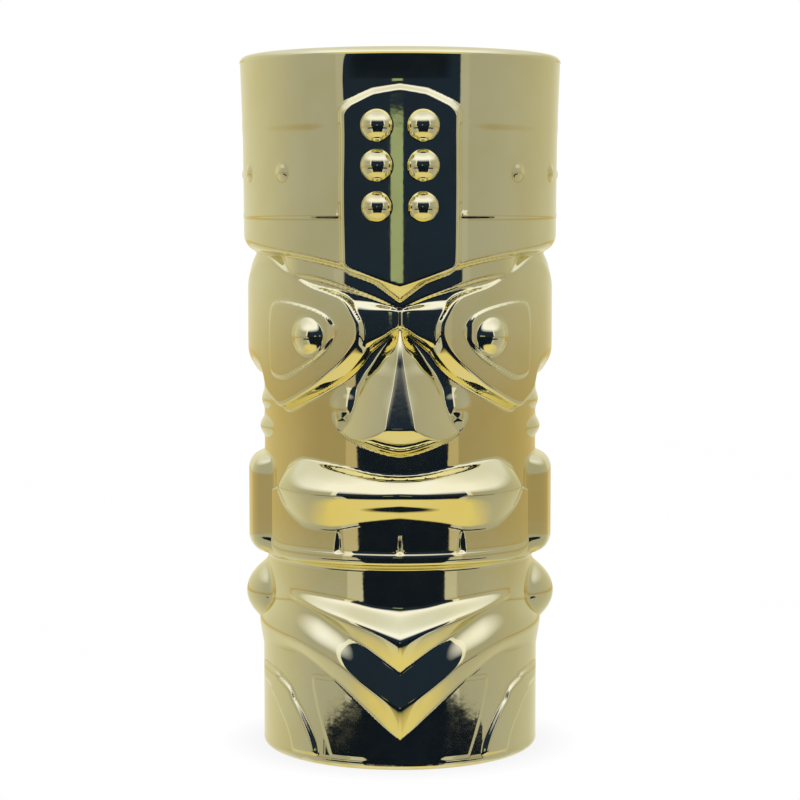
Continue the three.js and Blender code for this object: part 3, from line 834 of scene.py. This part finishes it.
def cut_piece(name, label, side=0):
    """Makes the closed solid of one laid-on piece, or of its half on one side (1 right, -1 left)."""
    level = level_of[label]
    own = cells == names.index(label)
    children = np.isin(cells, [names.index(child) for child in children_of(label)])
    if side:
        own &= side_of_cell == side
        children &= side_of_cell == side
    skin = Skin()
    top, seat = add_layers(skin, own, children, level)
    back = skin.add_points(backs[level - 1])
    add_hidden(skin, own | children, back, inward=True)
    outside = ~(own | children)
    add_walls(skin, own, outside, top, back)
    if seat is not None:
        add_walls(skin, children, outside, seat, back)
    return finish_piece(skin.build(name), name)


def arc(centre_reach, centre_height, radius, angles):
    """Points of a round stretch, at angles in degrees above the outward direction."""
    return [(centre_reach + radius * math.cos(t), centre_height + radius * math.sin(t))
            for t in np.radians(angles)]


def make_vessel():
    """The turned vessel: its outer wall, lip, cavity, floor and underside."""
    skin = Skin()
    own = cells == 0
    add_layers(skin, own, ~own, 0)
    a = np.radians(turns)
    circle = np.stack([np.sin(a), -np.cos(a), 0 * a], 1)

    def ring(reach, height):
        points = circle * reach
        points[:, 2] = height
        return skin.add_points(points) + np.arange(COLUMNS)

    def join(lower, upper):
        skin.add_faces(np.stack([lower, np.roll(lower, -1), np.roll(upper, -1), upper], 1))

    throat, belly, neck = CORE - 3, FACE - 3, NECK - 3.3   # the cavity beside the band, face and collars
    floor, fillet = 6.0, 7.0
    inner = arc(VESSEL.outer - LIP, HEIGHT - LIP, LIP, np.arange(12, 181, 12))
    inner += [(throat + 0.9, HEIGHT - 5), (throat + 0.2, HEIGHT - 10), (throat, HEIGHT - 16),
              (throat, BAND.low + 17.4), (throat - 0.4, BAND.low + 13.4), (belly + 0.4, BAND.low + 7.4),
              (belly, BAND.low + 3.4), (belly, JAW.low + 4.1), (belly - 0.4, JAW.low + 1.1),
              (neck + 0.4, JAW.low - 3.9), (neck, JAW.low - 6.9)]
    inner += arc(neck - fillet, floor + fillet, fillet, -np.arange(0, 91, 15))
    inner += [(neck * share, floor) for share in (0.5, 0.2, 0.02)]
    last = point_index[-1]   # the top of the outer wall, whose points come first in the skin
    for reach, height in inner:
        new = ring(reach, height)
        join(last, new)
        last = new
    skin.add_faces(last[None, :])
    under = ring(SKIRT - 1.6, 0.0)
    join(under, point_index[0])
    skin.add_faces(under[None, ::-1])
    return finish_piece(skin.build("vessel"), "vessel")


pieces = [make_vessel()]
for label in names[1:]:
    if label.startswith("boss"):
        mirror_image = f"boss_{BOSSES + 1 - int(label[-2:]):02d}"
        pieces += [cut_piece(label, label, 1), cut_piece(mirror_image, label, -1)]
    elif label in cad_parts:
        pieces.append(cut_piece(label, label))
    else:
        pieces += [cut_piece(label + "_right", label, 1), cut_piece(label + "_left", label, -1)]

# -------- studs


def smooth_by_angle(piece):
    """Drops the plain normals, so that only sharp edges stay sharp."""
    mesh = piece.data
    if "custom_normal" in mesh.attributes:
        mesh.attributes.remove(mesh.attributes["custom_normal"])
    mesh.set_sharp_from_angle(angle=math.radians(50))


def make_stud(side, number):
    """One of the plaque's six studs: a half ball on a short waist, in as fine a mesh as its mirror needs."""
    node = f"stud_{side}_{number}"
    where = span(f"stud_right_{number}")
    sign = 1 if side == "right" else -1
    centre_turn, centre_rise = middle_of(where)
    bigger = 0.1 if number < 3 else -0.1   # the third pair is a little smaller than the others
    radius = (where.high - where.low) / 2 + bigger
    height, waist = where.outer - where.inner, 0.25
    wall_turn = 0.93 * radius / FLAT       # the foot's half width, in degrees along the plaque
    rings, sides = 18, 48
    around = np.arange(sides) * 2 * math.pi / sides
    a = math.radians(centre_turn)
    skin = Skin()

    def ring(flat_radius, out):
        """A loop of points round the stud's middle, this far out from the mug's axis."""
        across = flat_radius * np.cos(around)
        x = out * math.sin(a) + across * math.cos(a)
        y = -out * math.cos(a) + across * math.sin(a)
        z = centre_rise + flat_radius * np.sin(around)
        return skin.add_points(np.stack([x * sign, y, z], 1)) + np.arange(sides)

    on_wall = sample(surface, centre_turn + wall_turn * np.cos(around), centre_rise + radius * np.sin(around))
    foot = np.sqrt((on_wall + 0.01) ** 2 - (radius * np.cos(around)) ** 2)
    loops = [ring(radius, foot)]
    for angle in np.arange(rings) / rings * math.pi / 2:
        lift = waist + (height - waist) * math.sin(angle)
        loops.append(ring(radius * math.cos(angle), PLAQUE.outer + lift))
    # The mirrored studs have the corners of their faces the other way round.
    for lower, upper in zip(loops[:-1], loops[1:]):
        skin.add_faces(np.stack([lower, np.roll(lower, -1), np.roll(upper, -1), upper], 1)[:, ::sign])
    skin.add_faces(loops[-1][None, ::sign])
    skin.add_faces(loops[0][None, ::-sign])
    piece = skin.build(node)
    smooth_by_angle(piece)
    return finish_piece(piece, node)


pieces += [make_stud(side, number) for side in ("left", "right") for number in (1, 2, 3)]

# -------- material


class Nodes:
    """Short hand for building a node tree."""

    def __init__(self, tree):
        self.tree = tree
        tree.nodes.clear()

    def add(self, kind, inputs=None, **settings):
        """Each input is either a value or the output of another node."""
        node = self.tree.nodes.new("ShaderNode" + kind)
        for key, value in settings.items():
            setattr(node, key, value)
        for key, value in (inputs or {}).items():
            if isinstance(value, bpy.types.NodeSocket):
                self.tree.links.new(value, node.inputs[key])
            else:
                node.inputs[key].default_value = value
        return node

    def maths(self, operation, a, b=0.0, clamp=False):
        return self.add("Math", {0: a, 1: b}, operation=operation, use_clamp=clamp).outputs[0]

    def range(self, value, low, high, to_low=0.0, to_high=1.0):
        keys = {"Value": value, "From Min": low, "From Max": high, "To Min": to_low, "To Max": to_high}
        return self.add("MapRange", keys).outputs["Result"]

    def noise(self, where, scale, detail, roughness=0.5):
        keys = {"Vector": where, "Scale": scale, "Detail": detail, "Roughness": roughness}
        return self.add("TexNoise", keys).outputs["Fac"]

    def mix(self, share, a, b, blend="MIX"):
        """Two colours: numbers 6 and 7 are the node's colour inputs, and output 2 is its colour."""
        return self.add("Mix", {0: share, 6: a, 7: b}, data_type="RGBA", blend_type=blend).outputs[2]

    def ramp(self, value, stops):
        node = self.add("ValToRGB", {"Fac": value})
        ramp = node.color_ramp
        while len(ramp.elements) > 1:
            ramp.elements.remove(ramp.elements[-1])
        ramp.elements[0].position, ramp.elements[0].color = stops[0][0], (*stops[0][1], 1)
        for position, colour in stops[1:]:
            ramp.elements.new(position).color = (*colour, 1)
        return node.outputs["Color"]

    def if_mirrored(self, mirrored, otherwise):
        """One shader for rays that the mug's coat sends out, and another for all the rest."""
        glossy = self.add("LightPath").outputs["Is Glossy Ray"]
        return self.add("MixShader", {0: glossy, 1: otherwise.outputs[0], 2: mirrored.outputs[0]})

    def show(self, output, shader):
        self.add(output, {"Surface": shader.outputs[0]})


def new_material(name):
    material = bpy.data.materials.new(name)
    material.use_nodes = True
    return material, Nodes(material.node_tree)


GOLD = (0.93, 0.87, 0.52, 1)
DEEP_GOLD = (0.88, 0.78, 0.40, 1)
PALE_GOLD = (0.95, 0.92, 0.62, 1)
IVORY = (0.80, 0.74, 0.62, 1)


def gold_plate():
    """Bright pale gold coat over glazed ceramic: faint smears, orange peel, pits and a rub at the foot."""
    material, n = new_material("pale_gold_coat")
    where = n.add("TexCoord").outputs["Object"]
    height = n.add("SeparateXYZ", {0: where}).outputs["Z"]
    clouds = n.noise(where, 55.0, 3.0)
    smears = n.noise(where, 240.0, 4.0, 0.65)
    peel = n.noise(where, 700.0, 1.0)
    pits = n.add("TexVoronoi", {"Vector": where, "Scale": 420.0, "Randomness": 1.0}).outputs["Distance"]
    pit = n.range(pits, 0.03, 0.09, 1.0, 0.0)
    tint = n.mix(0.6, n.mix(n.range(clouds, 0.35, 0.65), DEEP_GOLD, PALE_GOLD), GOLD)
    ragged = n.range(smears, 0.3, 0.7, -0.0006, 0.0006)
    foot = n.range(n.maths("ADD", height, ragged), 0.0003, 0.0011, 1.0, 0.0)
    rub = n.maths("MULTIPLY", foot, 0.35, clamp=True)
    roughness = n.range(smears, 0.4, 0.75, 0.03, 0.07)
    bumps = n.maths("SUBTRACT", n.maths("MULTIPLY", peel, 0.3), n.maths("MULTIPLY", pit, 0.05))
    shader = n.add("BsdfPrincipled", {
        "Base Color": n.mix(rub, tint, IVORY),
        "Metallic": n.maths("SUBTRACT", 1.0, rub),
        "Roughness": n.maths("ADD", roughness, n.maths("MULTIPLY", rub, 0.4)),
        "Normal": n.add("Bump", {"Height": bumps, "Strength": 0.02, "Distance": 0.0005}).outputs["Normal"],
    })
    n.show("OutputMaterial", shader)
    return material


coat = gold_plate()
for piece in pieces:
    piece.data.materials.append(coat)

# -------- the studio


def floor_white():
    """White, with a painted shadow that darkens it a little round the mug. Mirrored rays go through it, to
    the studio's own ground.
    """
    material, n = new_material("pale_floor")
    where = n.add("TexCoord").outputs["Object"]
    distance = n.add("VectorMath", {0: where}, operation="LENGTH").outputs["Value"]
    mottle = n.range(n.noise(where, 9.0, 2.0), 0.2, 0.8, 0.995, 1.0)
    # painted shadow: the glowing floor is made darker towards the mug's foot, times a faint random mottle
    painted_shadow_and_mottle = n.maths("MULTIPLY", n.range(distance, 0.030, 0.042, 0.90, 1.0), mottle)
    white = n.add("CombineColor", {0: painted_shadow_and_mottle, 1: painted_shadow_and_mottle, 2: painted_shadow_and_mottle}).outputs[0]
    seen = n.add("Emission", {"Color": white, "Strength": 1.0})
    gone = n.add("BsdfTransparent")
    n.show("OutputMaterial", n.if_mirrored(gone, seen))
    return material


def make_floor():
    mesh = bpy.data.meshes.new("floor")
    size = 6.0
    corners = [(-size, -size, 0), (size, -size, 0), (size, size, 0), (-size, size, 0)]
    mesh.from_pydata(corners, [], [(0, 1, 2, 3)])
    mesh.materials.append(floor_white())
    floor = bpy.data.objects.new("floor", mesh)
    bpy.context.scene.collection.objects.link(floor)


COOL_WALL = (0.99, 0.98, 0.88)
CREAM_WALL = (1.0, 0.97, 0.86)
TAN_WALL = (1.0, 0.97, 0.78)
GREY_BAND = (0.80, 0.80, 0.80, 1)
TAN_STAIN = (0.92, 0.77, 0.50, 1)
GLOOM_LOW = (0.005, 0.009, 0.02, 1)
GLOOM_HIGH = (0.012, 0.022, 0.05, 1)
GREEN = (0.32, 0.39, 0.26, 1)
CEILING_AHEAD = (1.0, 1.02, 1.25, 1)
CEILING_ASIDE = (0.72, 0.74, 0.80, 1)
GROUND_NEAR = (0.74, 0.66, 0.38, 1)
GROUND_AHEAD = (0.76, 0.65, 0.28, 1)
GROUND_ASIDE = (0.62, 0.55, 0.30, 1)


def sine(degrees):
    return math.sin(math.radians(degrees))


def make_studio():
    """White round the camera's view. What the coat mirrors: a dark room ahead, soft grey walls at the sides,
    paler ones behind, a pale ceiling, a yellow ground and a narrow dim green strip straight ahead."""
    world = bpy.data.worlds.new("studio")
    bpy.context.scene.world = world
    world.use_nodes = True
    n = Nodes(world.node_tree)
    direction = n.add("TexCoord").outputs["Generated"]
    x, y, z = n.add("SeparateXYZ", {0: direction}).outputs
    azimuth = n.maths("ARCTAN2", x, n.maths("MULTIPLY", y, -1.0))
    degrees = n.maths("MULTIPLY", azimuth, 180 / math.pi)

    def rising(low, high, start=0.0, end=1.0):
        """start below one elevation in degrees, end above another."""
        return n.range(z, sine(low), sine(high), start, end)

    def between(near, near_full, far_full, far):
        """1 between two azimuths in degrees, with a soft edge on each side."""
        fading = n.range(degrees, far_full, far, 1.0, 0.0)
        return n.maths("MULTIPLY", n.range(degrees, near, near_full), fading)

    # The walls all round, and grey bands on them at both sides of the dark room.
    stops = [(-180, 0.85, TAN_WALL), (-140, 0.64, TAN_WALL), (-110, 0.53, TAN_WALL), (-84, 0.44, CREAM_WALL),
             (-70, 0.40, COOL_WALL), (-40, 0.39, COOL_WALL), (40, 0.38, COOL_WALL), (70, 0.40, COOL_WALL),
             (84, 0.42, CREAM_WALL), (110, 0.46, TAN_WALL), (140, 0.55, TAN_WALL), (180, 0.85, TAN_WALL)]
    walls = n.ramp(n.range(azimuth, -math.pi, math.pi), [
        ((turned + 180) / 360, tuple(level * c for c in tint)) for turned, level, tint in stops
    ])
    bands = n.maths("ADD", between(-46.6, -45.4, -30, -29), between(29, 30, 49.3, 50.6))
    reach = 0.2   # the ramp below runs over this much of z on both sides of the horizon
    strength = n.ramp(n.range(z, -reach, reach), [
        (0.5 + sine(up) / (2 * reach), (level,) * 3)
        for up, level in ((-5.05, 0.35), (-2.75, 0.1), (2.75, 0.1), (3.21, 1.0))
    ])
    walls = n.mix(n.maths("MULTIPLY", bands, strength), walls, GREY_BAND)
    stain = n.maths("MULTIPLY", rising(-9.5, -7.5), rising(-4.6, -1.5, 1.0, 0.0))
    walls = n.mix(stain, walls, TAN_STAIN, "MULTIPLY")

    # The dark room ahead: it widens raggedly low down.
    ragged = n.range(n.noise(direction, 14.0, 3.0), 0.3, 0.7, 28, 40)
    wider = n.maths("MULTIPLY", rising(-12.9, -11.9, 1.0, 0.0), ragged)
    wider = n.maths("MULTIPLY", wider, rising(-21, -18))

    def edge(low, high, narrowing):
        """How many degrees the dark room reaches to one side."""
        plain = n.maths("ADD", wider, rising(-6.3, -1.7, low, high))
        return n.maths("SUBTRACT", plain, rising(-9.7, -5.7, narrowing, 0.0))

    within_left = n.range(n.maths("ADD", degrees, edge(36.4, 38.3, 5.0)), -0.5, 0.5)
    within_right = n.range(n.maths("SUBTRACT", edge(40.5, 43.3, 2.0), degrees), -0.5, 0.5)
    ahead = n.maths("MULTIPLY", within_left, within_right)
    room = n.mix(ahead, walls, n.mix(rising(-7, -1), GLOOM_LOW, GLOOM_HIGH))
    upright = n.maths("MULTIPLY", rising(-2.2, -2.0), rising(2.6, 2.75, 1.0, 0.0))
    room = n.mix(n.maths("MULTIPLY", between(-5.6, -5.2, 1.6, 2.0), upright), room, GREEN)

    # The ceiling and the ground.
    aside = n.range(n.maths("ABSOLUTE", degrees), 60, 110)
    ceiling = n.mix(aside, CEILING_AHEAD, CEILING_ASIDE)
    ceiling = n.mix(rising(50, 75), ceiling, CEILING_ASIDE)
    room = n.mix(rising(21, 36), room, ceiling)
    ground = n.mix(aside, n.mix(rising(-75, -50), GROUND_NEAR, GROUND_AHEAD), GROUND_ASIDE)
    room = n.mix(rising(-47, -40), ground, room)

    mirrored = n.add("Background", {"Color": room, "Strength": 1.0})
    plain = n.add("Background", {"Color": (1, 1, 1, 1), "Strength": 1.0})
    n.show("OutputWorld", n.if_mirrored(mirrored, plain))


def make_camera():
    """Eye level, a little below the rim, about half a metre in front of the face."""
    data = bpy.data.cameras.new("camera")
    data.lens, data.sensor_width = 100, 36
    camera = bpy.data.objects.new("camera", data)
    low, high = cad_box
    middle = (high.z + low.z) / 2
    away = 3.25 * (high.z - low.z)
    eye, aim = middle + 0.0415, middle + 0.0005   # how high the camera is, and the point it looks at
    camera.location = (0, -away, eye)
    camera.rotation_euler = (math.pi / 2 - math.atan2(eye - aim, away), 0, 0)
    bpy.context.scene.collection.objects.link(camera)
    bpy.context.scene.camera = camera
    bpy.context.scene.view_settings.view_transform = "Standard"


make_floor()
make_studio()
make_camera()
